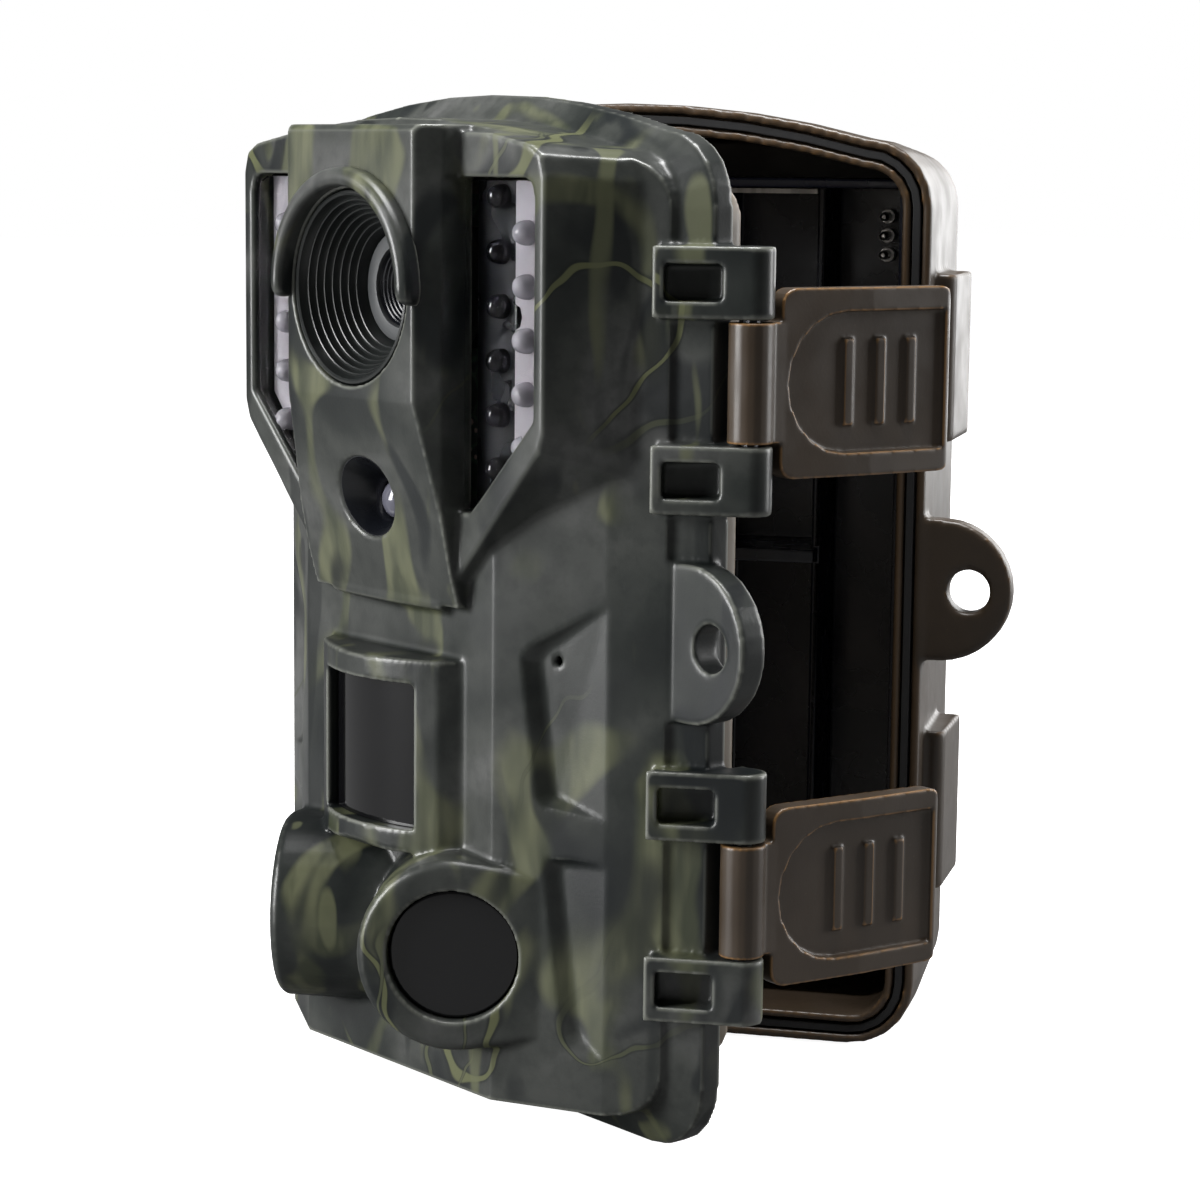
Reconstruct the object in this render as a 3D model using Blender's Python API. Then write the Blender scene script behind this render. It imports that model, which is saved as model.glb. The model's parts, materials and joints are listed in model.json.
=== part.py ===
"""Compact trail camera, opened like a book, as separate sub-parts.

The front housing holds the electronics and looks along -Y. The rear shell holds the
battery tray and swings on a hinge at the left edge. Two latches pivot on the right
edge. Lengths below are millimetres; meshes are written in metres. +Z is up and z = 0
is the surface that the camera stands on.
"""

from math import cos, pi, radians, sin, sqrt

import bmesh
import bpy
from mathutils import Matrix, Vector

MM = 0.001
SHIFT = Vector((0.0, 1.5, 0.0))  # puts the origin mid-way through the flange's base strip
GAP = 0.3                      # clearance between neighbouring pieces
WELD = 0.004                   # corners closer than this are one corner

# Overall size of the front housing
HEIGHT = 136.4
HALF_WIDTH = 46.5              # flange, from the centre line
TOP_DROP = 4.7                 # how far the arched top falls towards the corners
CORNER = 9.5                   # corner radius of the flange
FLANGE_BACK = 0.0              # parting plane
FLANGE_FRONT = -3.0
BODY_HALF = 42.3               # body just in front of the flange
BODY_BOTTOM = 4.6
BODY_TOP = 133.2
EDGE_X, EDGE_Y = 35.7, -10.9   # vertical edge between side and front facet
FACE_X, FACE_Y = 21.3, -18.1   # front facet meets the flat front
WALL = 2.4

# Raised upper module with the lamp windows, and the central tongue
MODULE_FRONT = -20.2
MODULE_HALF = 33.8
TONGUE_FRONT = -26.0
TONGUE_HALF = 14.3
TONGUE_SIDE, TONGUE_STEP = 16.4, -22.4   # where its bevel ends
TONGUE_TOP = 132.2
TONGUE_BEND = 96.6             # the face leans back below this height
TONGUE_CHIN = 74.0
TONGUE_BOTTOM = 69.8
WINDOW_TOP, WINDOW_LOW, WINDOW_SIDE = 125.4, 83.6, 30.8

# Lens
LENS_Z = 111.0
LENS_BORE = 12.4
HOOD_OUTER, HOOD_INNER = 14.9, 12.9
HOOD_FRONT = -30.2

# Motion and light sensors
SENSOR_Z = 82.6
PIR_LOW, PIR_HIGH = 36.4, 62.6
PIR_HALF = 13.2
SIDE_PIR = Vector((19.4, -23.1, 24.4))
SIDE_PIR_OUTER, SIDE_PIR_BORE = 12.8, 8.6

# Right-hand lugs and latches
LUGS = ((108.4, 117.5), (83.9, 92.7), (42.3, 51.3), (18.7, 27.1))
LATCH_PIN = Vector((50.0, 0.2, 0.0))
LATCH_ROOTS = ((93.0, 108.1), (27.4, 42.0))
LATCH_PLATES = ((88.3, 112.3), (22.8, 46.2))
LATCH_REST = 6.0               # degrees open from fully closed, as it hangs
BARREL = 2.9
PIN = 1.1
EAR_Z, EAR_X, EAR_RADIUS, EAR_HOLE_X, EAR_HOLE = 67.5, 45.9, 10.2, 49.9, 3.1

# Rear shell, described closed and then swung open
HINGE = Vector((-49.3, 1.6, 0.0))
DOOR_OPEN = 36.0               # degrees
REAR_LEFT, REAR_RIGHT = -45.2, 43.4
REAR_FRONT, REAR_BACK = 0.4, 44.0
RIM = 4.2
REAR_WALL = 2.4
FRONT_KNUCKLES = ((37.6, 43.5), (91.5, 97.4))
REAR_KNUCKLES = ((31.4, 37.3), (97.7, 103.6))
KNUCKLE = 2.5
CATCH_FRONT, CATCH_BACK, CATCH_OUT = 5.0, 21.5, 46.4

# Back cover of the electronics and its controls
COVER_HALF, COVER_LOW, COVER_HIGH = 38.8, 8.6, 127.4
COVER_BACK = 9.0
COVER_FRONT = -1.6
COVER_SKIN = 2.2
COVER_DROP = 1.6
DISPLAY_Z, DISPLAY_HALF_W, DISPLAY_HALF_H = 93.0, 26.0, 20.5
BUTTON_Z, BUTTON_PITCH, BUTTON_RADIUS = 54.0, 12.5, 3.6
SWITCH_Z, SOCKET_Z = 36.0, 20.0
SCREWS = ((-32.4, 15.6), (32.4, 15.6), (-32.4, 117.8), (32.4, 117.8))

# Battery tray
TRAY_LEFT, TRAY_RIGHT, TRAY_LOW, TRAY_HIGH = -40.5, 38.6, 11.6, 125.6
TRAY_FRONT, TRAY_BACK, TRAY_WALL = 10.4, 41.0, 1.4
CELL_PITCH, RIB = 15.6, 1.2

COLOURS = {
    "camo": ((0.10, 0.12, 0.07), 0.50, 0.0),
    "black": ((0.012, 0.013, 0.016), 0.30, 0.0),
    "glass": ((0.01, 0.01, 0.015), 0.05, 0.0),
    "clear": ((0.75, 0.75, 0.78), 0.10, 0.0),
    "white": ((0.45, 0.45, 0.47), 0.40, 0.0),
    "brown": ((0.13, 0.075, 0.045), 0.45, 0.0),
    "tan": ((0.32, 0.21, 0.13), 0.50, 0.0),
    "board": ((0.02, 0.10, 0.05), 0.45, 0.0),
    "steel": ((0.55, 0.55, 0.56), 0.30, 1.0),
    "brass": ((0.60, 0.45, 0.20), 0.35, 1.0),
    "rubber": ((0.03, 0.03, 0.03), 0.80, 0.0),
}


# ---------------------------------------------------------------- helpers

def clear_scene():
    for obj in list(bpy.data.objects):
        bpy.data.objects.remove(obj, do_unlink=True)


def material(key):
    found = bpy.data.materials.get(key)
    if found:
        return found
    colour, roughness, metallic = COLOURS[key]
    made = bpy.data.materials.new(key)
    made.use_nodes = True
    shader = made.node_tree.nodes["Principled BSDF"]
    shader.inputs["Base Color"].default_value = (*colour, 1.0)
    shader.inputs["Roughness"].default_value = roughness
    shader.inputs["Metallic"].default_value = metallic
    return made


def solid(name, points, faces):
    """One closed mesh from points in millimetres, faces turned outwards."""
    mesh = bpy.data.meshes.new(name)
    mesh.from_pydata([(Vector(p) + SHIFT) * MM for p in points], [], faces)
    work = bmesh.new()
    work.from_mesh(mesh)
    bmesh.ops.recalc_face_normals(work, faces=work.faces)
    work.to_mesh(mesh)
    work.free()
    obj = bpy.data.objects.new(name, mesh)
    bpy.context.scene.collection.objects.link(obj)
    return obj


def loft(name, rings):
    """Skin rings of equal length and cap both ends."""
    count = len(rings[0])
    points = [p for ring in rings for p in ring]
    faces = [list(range(count)), list(range(len(points) - count, len(points)))]
    for level in range(len(rings) - 1):
        low = level * count
        for i in range(count):
            j = (i + 1) % count
            faces.append([low + i, low + j, low + count + j, low + count + i])
    return solid(name, points, faces)


def prism_y(outline, front, back, name="tool"):
    return loft(name, [[(x, y, z) for x, z in outline] for y in (front, back)])


def prism_z(outline, low, high, name="tool"):
    return loft(name, [[(x, y, z) for x, y in outline] for z in (low, high)])


def prism_x(outline, left, right, name="tool"):
    return loft(name, [[(x, y, z) for y, z in outline] for x in (left, right)])


def block(x0, x1, y0, y1, z0, z1, name="tool"):
    return prism_z([(x0, y0), (x1, y0), (x1, y1), (x0, y1)], z0, z1, name)


def circle(radius, count, start=0.0, end=2 * pi):
    closed = abs(end - start - 2 * pi) < 1e-6
    steps = count if closed else count - 1
    return [(radius * cos(start + (end - start) * i / steps),
             radius * sin(start + (end - start) * i / steps)) for i in range(count)]


def turned(centre, axis, profile, count=24, name="tool"):
    """Closed profile of (distance along axis, radius); radius 0 closes an end."""
    axis = Vector(axis).normalized()
    side = axis.orthogonal().normalized()
    up = axis.cross(side)
    rings = []
    for along, radius in profile:
        middle = Vector(centre) + axis * along
        rings.append([middle + side * u + up * v for u, v in circle(radius, count)])
    return loft(name, rings)


def rod(start, axis, length, radius, count=20, name="tool"):
    return turned(start, axis, [(0.0, radius), (length, radius)], count, name)


def weld(mesh):
    """Merge corners that a cut leaves a hair apart."""
    work = bmesh.new()
    work.from_mesh(mesh)
    bmesh.ops.remove_doubles(work, verts=work.verts, dist=WELD * MM)
    bmesh.ops.dissolve_degenerate(work, edges=work.edges, dist=WELD * MM)
    work.to_mesh(mesh)
    work.free()


def boolean(target, tools, operation):
    for tool in tools:
        change = target.modifiers.new(operation, "BOOLEAN")
        change.operation = operation
        change.solver = "EXACT"
        change.object = tool
        bpy.context.view_layer.update()
        graph = bpy.context.evaluated_depsgraph_get()
        result = bpy.data.meshes.new_from_object(target.evaluated_get(graph))
        weld(result)
        target.modifiers.clear()
        target.data = result
        bpy.data.objects.remove(tool, do_unlink=True)
    return target


def join(target, *tools):
    return boolean(target, tools, "UNION")


def cut(target, *tools):
    return boolean(target, tools, "DIFFERENCE")


def common(target, tool):
    return boolean(target, [tool], "INTERSECT")


def pivot(name, place, turn=0.0, parent=None):
    empty = bpy.data.objects.new(name, None)
    empty.empty_display_size = 0.01
    empty.location = (Vector(place) + SHIFT) * MM
    empty.rotation_euler = (0.0, 0.0, radians(turn))
    bpy.context.scene.collection.objects.link(empty)
    empty.parent = parent
    return empty


def finish(obj, name, colour, parent=None, origin=(0.0, 0.0, 0.0), smooth=35.0):
    """Name, colour and hang a piece; its origin moves to the given point."""
    obj.name = name
    obj.data.name = name
    centre = (Vector(origin) + SHIFT) * MM
    obj.data.transform(Matrix.Translation(-centre))
    if parent is None:
        obj.location = centre
    else:
        obj.parent = parent
    obj.data.materials.clear()
    obj.data.materials.append(material(colour))
    obj.data.shade_smooth()
    obj.data.set_sharp_from_angle(angle=radians(smooth))
    return obj


def arched(left, right, low, high, corner, drop=TOP_DROP):
    """Outline in X and Z: a rounded rectangle whose top edge is arched."""
    middle = (left + right) / 2
    shoulder = high - drop
    corners = 5
    outline = []
    for cx, cz, start in ((left + corner, low + corner, pi), (right - corner, low + corner, 1.5 * pi)):
        outline += [(cx + corner * cos(start + 0.5 * pi * i / corners),
                     cz + corner * sin(start + 0.5 * pi * i / corners)) for i in range(corners + 1)]
    outline += [(right - corner + corner * cos(0.5 * pi * i / corners),
                 shoulder - corner + corner * sin(0.5 * pi * i / corners)) for i in range(corners + 1)]
    reach = right - corner - middle
    for i in range(1, 8):
        x = right - corner - 2 * reach * i / 8
        outline.append((x, high - drop * ((x - middle) / reach) ** 2))
    outline += [(left + corner + corner * cos(0.5 * pi + 0.5 * pi * i / corners),
                 shoulder - corner + corner * sin(0.5 * pi + 0.5 * pi * i / corners))
                for i in range(corners + 1)]
    return outline


def mirrored(half):
    """Outline from its right half, listed from top centre down."""
    return half + [(-x, z) for x, z in reversed(half) if x > 0.01]


def side_axis(side):
    return Vector((side / sqrt(2), -1 / sqrt(2), 0.0))


def side_centre(side):
    return Vector((side * SIDE_PIR.x, SIDE_PIR.y, SIDE_PIR.z))


# ---------------------------------------------------------------- front housing

def plan(inset, back):
    """Outline seen from above: flat front, slanted facets, sides running back."""
    wide = BODY_HALF + 1.0 - inset
    half = [(wide, back), (wide, -5.8), (EDGE_X - inset, EDGE_Y + 0.5 * inset),
            (FACE_X - inset / 2, FACE_Y + inset)]
    return half + [(-x, y) for x, y in reversed(half)]


def flange():
    outer = arched(-HALF_WIDTH, HALF_WIDTH, 0.0, HEIGHT, CORNER)
    body = arched(-BODY_HALF, BODY_HALF, BODY_BOTTOM, BODY_TOP, CORNER - 3)
    rings = [[(x, FLANGE_BACK, z) for x, z in outer], [(x, FLANGE_FRONT, z) for x, z in outer],
             [(x, FLANGE_FRONT - 2.6, z) for x, z in body]]
    return loft("front_housing", rings)


def body_block():
    outline = arched(-BODY_HALF, BODY_HALF, BODY_BOTTOM, BODY_TOP, CORNER - 3)
    shape = prism_y(outline, FACE_Y - 4, -2.0)
    return common(shape, prism_z(plan(0.0, -1.0), 0.0, HEIGHT))


def module_block():
    front = mirrored([(0.0, 131.8), (22.0, 131.2), (30.6, 129.8), (33.0, 128.5), (MODULE_HALF, 125.9),
                      (MODULE_HALF, 94.0), (32.9, 91.4), (12.0, 69.3), (0.0, 69.1)])
    back = [(x * 1.22, z + (-1.0 if z > 120 else -5.0)) for x, z in front]
    return loft("tool", [[(x, MODULE_FRONT, z) for x, z in front], [(x, -4.0, z) for x, z in back]])


def tongue_block():
    outline = [(TONGUE_HALF, TONGUE_FRONT), (TONGUE_SIDE, TONGUE_STEP), (TONGUE_SIDE, -10.0),
               (-TONGUE_SIDE, -10.0), (-TONGUE_SIDE, TONGUE_STEP), (-TONGUE_HALF, TONGUE_FRONT)]
    shape = prism_z(outline, TONGUE_BOTTOM, TONGUE_TOP)
    profile = [(TONGUE_FRONT, TONGUE_TOP - 0.8), (TONGUE_FRONT + 0.8, TONGUE_TOP), (-9.0, TONGUE_TOP),
               (-9.0, TONGUE_BOTTOM), (TONGUE_FRONT + 6.0, TONGUE_BOTTOM),
               (TONGUE_FRONT + 4.8, TONGUE_CHIN), (TONGUE_FRONT, TONGUE_BEND)]
    return common(shape, prism_x(profile, -20.0, 20.0))


def hood():
    outer = circle(HOOD_OUTER, 19, radians(-4), radians(184))
    inner = circle(HOOD_INNER, 19, radians(-4), radians(184))
    outline = [(x, z + LENS_Z) for x, z in outer + inner[::-1]]
    return prism_y(outline, HOOD_FRONT, TONGUE_FRONT + 1.7)


def pir_plan(grow, front):
    reach = PIR_HALF + grow
    rise = 4.0
    arc = [(reach * i / 6, front - grow + rise * (i / 6) ** 2) for i in range(-6, 7)]
    return arc + [(reach + 2.6, -17.0), (reach + 2.6, -12.0), (-reach - 2.6, -12.0), (-reach - 2.6, -17.0)]


def collar(side):
    start = side_centre(side)
    profile = [(0.0, SIDE_PIR_OUTER - 0.8), (-0.8, SIDE_PIR_OUTER), (-16.8, SIDE_PIR_OUTER + 0.5)]
    return turned(start, side_axis(side), profile, 30)


def lug(low, high):
    pin = LATCH_PIN
    arc = circle(BARREL, 9, radians(-40), radians(110))
    outline = [(40.5, -4.0), (42.2, -9.8)] + [(pin.x + x, pin.y + y) for x, y in arc]
    outline += [(47.0, 2.6), (46.8, -1.0)]
    piece = prism_z(outline, low, high)
    along = Vector((cos(radians(43)), sin(radians(43)), 0.0))
    face = Vector((along.y, -along.x, 0.0))
    root = Vector((42.2, -9.8, 0.0)) + along * 1.6
    corners = [root + face * 2, root + along * 7.4 + face * 2,
               root + along * 7.4 - face * 3.2, root - face * 3.2]
    middle = (low + high) / 2
    return piece, prism_z([(c.x, c.y) for c in corners], middle - 2.3, middle + 2.3)


def ear(front, back):
    arc = circle(EAR_RADIUS, 17, radians(-90), radians(90))
    outline = [(EAR_X - 4, EAR_Z - EAR_RADIUS)] + [(EAR_X + x, EAR_Z + z) for x, z in arc]
    outline.append((EAR_X - 4, EAR_Z + EAR_RADIUS))
    shape = prism_y(outline, front, back)
    return cut(shape, rod((EAR_HOLE_X, front - 1, EAR_Z), (0, 1, 0), back - front + 2, EAR_HOLE))


def window_outline(side, shrink):
    left, right = TONGUE_SIDE + 0.2 + shrink, WINDOW_SIDE - shrink
    top, low = WINDOW_TOP - shrink, WINDOW_LOW + shrink
    points = [(left, top), (right - 2.0, top), (right - 0.5, top - 0.7), (right, top - 2.4),
              (right, low + 11.6), (left + 2.8 - 1.6 * shrink, low), (left, low)]
    return [(side * x, z) for x, z in points]


def housing_cavity():
    """Everything that is hollow behind the front wall, as one tool."""
    inner = prism_y(arched(-BODY_HALF + 3.6, BODY_HALF - 3.6, 8.4, 128.4, 5.0), FACE_Y, 1.0)
    hollow = common(inner, prism_z(plan(WALL, 1.0), 0.0, HEIGHT))
    lamps = mirrored([(31.6, 126.5), (31.6, 94.6), (20.0, 82.0)])
    module = prism_y(lamps, MODULE_FRONT + 2.6, -10.0)
    mouth = prism_y(arched(-COVER_HALF - 0.6, COVER_HALF + 0.6, COVER_LOW - 0.5, COVER_HIGH + 0.5, 5.0,
                           COVER_DROP), -2.2, 1.0)
    return join(hollow, module, mouth)


def build_front_housing():
    shell = join(flange(), body_block(), collar(1), collar(-1), module_block(), tongue_block(), hood())
    frame = common(prism_z(pir_plan(0.0, -25.0), PIR_LOW, PIR_HIGH),
                   prism_x([(-25.6, PIR_LOW + 1.4), (-25.6, PIR_HIGH - 0.6), (-24.0, PIR_HIGH), (-10.0, PIR_HIGH),
                            (-10.0, PIR_LOW), (-24.0, PIR_LOW)], -20.0, 20.0))
    shell = join(shell, frame)
    for low, high in LUGS:
        piece, pocket = lug(low, high)
        shell = cut(join(shell, piece), pocket)
    shell = join(shell, ear(-6.0, -1.9))
    for low, high in FRONT_KNUCKLES:
        shell = join(shell, rod((HINGE.x, HINGE.y, low), (0, 0, 1), high - low, KNUCKLE))
        web = [(HINGE.x - 0.4, HINGE.y - 1.0), (HINGE.x + 0.4, HINGE.y - 2.45), (-46.0, -2.8), (-46.0, -0.3),
               (HINGE.x + 2.4, HINGE.y - 0.5)]
        shell = join(shell, prism_z(web, low + 0.2, high - 0.2))
    shell = cut(shell, housing_cavity())
    shell = cut(shell, rod((0, TONGUE_FRONT - 1, LENS_Z), (0, 1, 0), 14, LENS_BORE, 32))
    for side in (1, -1):
        shell = cut(shell, prism_y(window_outline(side, 0.0), MODULE_FRONT - 2, MODULE_FRONT + 4))
    cone = [(0, 6.6), (5.4, 3.0), (14, 2.9)]
    shell = cut(shell, turned((0, TONGUE_FRONT - 0.5, SENSOR_Z), (0, 1, 0), cone, 20))
    shell = cut(shell, block(-9.9, 9.9, -27.0, -12.0, PIR_LOW + 3.2, PIR_HIGH - 3.4))
    for side in (1, -1):
        start = side_centre(side) + side_axis(side)
        bore = [(0.0, SIDE_PIR_BORE), (-3.9, SIDE_PIR_BORE), (-3.9, 6.6), (-17.4, 6.6)]
        shell = cut(shell, turned(start, side_axis(side), bore, 28))
    for x, z in SCREWS:
        shell = join(shell, rod((x, -10.9, z), (0, 1, 0), 17.0, 2.8, 12))
        shell = cut(shell, rod((x, -8.0, z), (0, 1, 0), 16.0, 1.4, 12))
    shell = cut(shell, rod((28.5, -20.0, 63.9), (0, 1, 0), 12.0, 0.6, 10))
    for low, high in (LUGS[1][0], LUGS[0][1]), (LUGS[3][0], LUGS[2][1]):
        shell = cut(shell, rod((LATCH_PIN.x, LATCH_PIN.y, low + 1.5), (0, 0, 1), high - low - 3, PIN + GAP, 14))
    for (low, high), (other_low, other_high) in zip(FRONT_KNUCKLES, REAR_KNUCKLES):
        bottom, top = min(low, other_low) + 1.0, max(high, other_high) - 1.0
        shell = cut(shell, rod((HINGE.x, HINGE.y, bottom), (0, 0, 1), top - bottom, PIN + GAP, 14))
    finish(shell, "front_housing", "camo")


# ---------------------------------------------------------------- lens and lamps

def build_lens():
    rings = [(0.4, 12.1), (13.6, 12.1), (13.6, 6.6), (8.2, 6.6), (8.2, 7.6), (6.8, 7.6), (6.8, 8.6), (5.4, 8.6),
             (5.4, 9.4), (4.2, 9.4), (4.2, 10.2), (3.0, 10.2), (3.0, 10.9), (1.8, 10.9), (1.8, 11.5), (0.4, 11.5)]
    points, faces, count = [], [], 32
    for along, radius in rings:
        points += [(x, TONGUE_FRONT + along, LENS_Z + z) for x, z in circle(radius, count)]
    for ring in range(len(rings)):
        following = (ring + 1) % len(rings)
        for i in range(count):
            j = (i + 1) % count
            faces.append([ring * count + i, ring * count + j, following * count + j, following * count + i])
    finish(solid("lens_barrel", points, faces), "lens_barrel", "camo")
    dome = [(0.0, 2.2), (0.5, 4.4), (1.2, 6.3), (2.2, 6.3)]
    finish(turned((0, TONGUE_FRONT + 8.6, LENS_Z), (0, 1, 0), dome, 28), "lens_glass", "glass")
    image = block(-8.0, 8.0, -11.9, -9.2, LENS_Z - 8, LENS_Z + 8)
    finish(join(image, rod((0, -14.6, LENS_Z), (0, 1, 0), 4.0, 5.4, 20)), "image_sensor", "black")


def build_lamps():
    infrared = [88.4 + 6.95 * i for i in range(6)]
    white = [94.6 + 6.8 * i for i in range(5)]
    dome = [(0, 1.5), (1.1, 1.5), (1.7, 1.1), (2.0, 0.4)]
    for side, word in ((1, "right"), (-1, "left")):
        pane = prism_y(window_outline(side, GAP), MODULE_FRONT + 0.7, MODULE_FRONT + 1.7)
        finish(pane, "led_window_" + word, "clear")
        outline = [(17.2, 84.4), (21.4, 84.4), (24.2, 87.6), (24.2, 125.6), (17.2, 125.6)]
        bar = prism_y([(side * x, z) for x, z in outline], -16.9, -15.4)
        bulbs = [turned((side * 21.2, -16.2, z), (0, -1, 0), dome, 10) for z in infrared]
        finish(join(bar, *bulbs), "infrared_lamps_" + word, "black")
        outline = [(24.6, 88.2), (30.9, 95.0), (30.9, 125.6), (24.6, 125.6)]
        strip = prism_y([(side * x, z) for x, z in outline], -16.9, -15.4)
        bulbs = [turned((side * 27.4, -16.2, z), (0, -1, 0), dome, 10) for z in white]
        finish(join(strip, *bulbs), "white_lamps_" + word, "white")
    stem = [(0.0, 1.0), (0.6, 2.0), (2.0, 2.3), (5.6, 2.3), (5.6, 2.6), (6.6, 2.6)]
    finish(turned((0, -18.6, SENSOR_Z), (0, 1, 0), stem, 16), "light_sensor", "clear")


def build_motion_sensors():
    outer = [(9.5 * i / 8, -22.9 + 1.9 * (i / 8) ** 2) for i in range(-8, 9)]
    inner = [(9.5 * i / 8, -21.8 + 1.9 * (i / 8) ** 2) for i in range(8, -9, -1)]
    finish(prism_z(outer + inner, PIR_LOW + 3.6, PIR_HIGH - 3.8), "motion_window_front", "glass")
    finish(rod((0, -14.6, 49.5), (0, 1, 0), 4.4, 4.6, 20), "motion_sensor_front", "steel")
    for side, word in ((1, "right"), (-1, "left")):
        axis = side_axis(side)
        start = side_centre(side) - axis * 1.4
        finish(rod(start, -axis, 1.2, SIDE_PIR_BORE - GAP, 28), "motion_window_" + word, "glass")
        finish(rod(start - axis * 5.0, -axis, 4.2, 4.6, 20), "motion_sensor_" + word, "steel")
    finish(rod((28.5, -10.6, 63.9), (0, 1, 0), 1.6, 2.2, 14), "microphone", "black")


# ---------------------------------------------------------------- electronics and back cover

def build_back_cover():
    def ring(inset, y):
        return [(x, y, z) for x, z in arched(-COVER_HALF + inset, COVER_HALF - inset, COVER_LOW + inset,
                                             COVER_HIGH - inset, 5.0, COVER_DROP)]
    cover = loft("back_cover", [ring(0.0, COVER_FRONT), ring(0.0, 0.6), ring(0.7, COVER_BACK)])
    inner = arched(-COVER_HALF + 2.4, COVER_HALF - 2.4, COVER_LOW + 2.4, COVER_HIGH - 2.4, 4.0, COVER_DROP)
    hollow = prism_y(inner, COVER_FRONT - 1, COVER_BACK - COVER_SKIN)
    cover = cut(cover, hollow)
    cover = cut(cover, block(-DISPLAY_HALF_W, DISPLAY_HALF_W, 0, 12, DISPLAY_Z - DISPLAY_HALF_H,
                             DISPLAY_Z + DISPLAY_HALF_H))
    for i in range(-2, 3):
        cover = cut(cover, rod((i * BUTTON_PITCH, 5, BUTTON_Z), (0, 1, 0), 8, BUTTON_RADIUS + GAP, 20))
    cover = cut(cover, block(-6.2, 6.2, 5, 12, SWITCH_Z - 1.9, SWITCH_Z + 1.9))
    for centre, half_w, half_h in ((-18.0, 7.6, 1.9), (0.0, 4.8, 2.2)):
        cover = cut(cover, block(centre - half_w, centre + half_w, 5, 12, SOCKET_Z - half_h, SOCKET_Z + half_h))
    cover = cut(cover, rod((17.0, 5, SOCKET_Z), (0, 1, 0), 8, 4.2, 18))
    for x, z in SCREWS:
        cover = cut(cover, rod((x, 5, z), (0, 1, 0), 8, 1.9, 12))
        cover = cut(cover, rod((x, COVER_BACK - 1.2, z), (0, 1, 0), 4, 3.2, 14))
    finish(cover, "back_cover", "tan")
    for index, (x, z) in enumerate(SCREWS):
        head = rod((x, COVER_BACK - 0.9, z), (0, 1, 0), 1.2, 2.8, 14)
        screw = join(head, rod((x, -5.0, z), (0, 1, 0), 13.3, 1.05, 10))
        screw = cut(screw, block(x - 2.0, x + 2.0, COVER_BACK - 0.2, 12, z - 0.4, z + 0.4))
        finish(screw, "cover_screw_%d" % (index + 1), "steel")


def build_electronics():
    board = prism_y(arched(-36.0, 36.0, 12.2, 123.2, 3.0, 1.0), -4.4, -2.8)
    for x, z in SCREWS:
        board = cut(board, rod((x, -6, z), (0, 1, 0), 5, 3.2, 12))
    finish(board, "main_board", "board")
    panel = block(-DISPLAY_HALF_W - 2, DISPLAY_HALF_W + 2, 3.0, 6.2, DISPLAY_Z - DISPLAY_HALF_H - 2,
                  DISPLAY_Z + DISPLAY_HALF_H + 2)
    finish(panel, "display_panel", "black")
    pane = block(-DISPLAY_HALF_W + GAP, DISPLAY_HALF_W - GAP, COVER_BACK - 2.0, COVER_BACK - 0.8,
                 DISPLAY_Z - DISPLAY_HALF_H + GAP, DISPLAY_Z + DISPLAY_HALF_H - GAP)
    finish(pane, "display_window", "glass")
    for index, word in enumerate(("menu", "left", "ok", "right", "shot")):
        x = (index - 2) * BUTTON_PITCH
        cap = turned((x, 4.0, BUTTON_Z), (0, 1, 0), [(0, BUTTON_RADIUS + 1.0), (1.2, BUTTON_RADIUS + 1.0),
                                                     (1.2, BUTTON_RADIUS), (5.6, BUTTON_RADIUS),
                                                     (6.0, BUTTON_RADIUS - 0.6)], 20)
        finish(cap, "button_" + word, "rubber", origin=(x, 4.0, BUTTON_Z))
    knob = join(block(-2.2, 2.2, 5.0, 10.0, SWITCH_Z - 1.5, SWITCH_Z + 1.5),
                block(-4.0, 4.0, 4.6, 6.4, SWITCH_Z - 2.6, SWITCH_Z + 2.6))
    finish(knob, "power_switch", "black", origin=(0, 5.0, SWITCH_Z))
    slot = cut(block(-26.0, -10.0, -2.4, 6.4, SOCKET_Z - 2.2, SOCKET_Z + 2.2),
               block(-23.6, -12.4, 0.0, 8.0, SOCKET_Z - 0.9, SOCKET_Z + 0.9))
    finish(slot, "card_slot", "steel")
    usb = cut(block(-4.5, 4.5, -2.4, 8.4, SOCKET_Z - 1.9, SOCKET_Z + 1.9),
              block(-3.9, 3.9, 1.0, 9.0, SOCKET_Z - 1.3, SOCKET_Z + 1.3))
    finish(usb, "usb_socket", "steel")
    jack = cut(rod((17.0, -2.4, SOCKET_Z), (0, 1, 0), 10.8, 3.9, 18), rod((17.0, 0, SOCKET_Z), (0, 1, 0), 12, 2.8, 14))
    jack = join(jack, rod((17.0, -1.0, SOCKET_Z), (0, 1, 0), 8.0, 0.8, 10))
    finish(jack, "power_socket", "black")


# ---------------------------------------------------------------- latches and hinge

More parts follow.
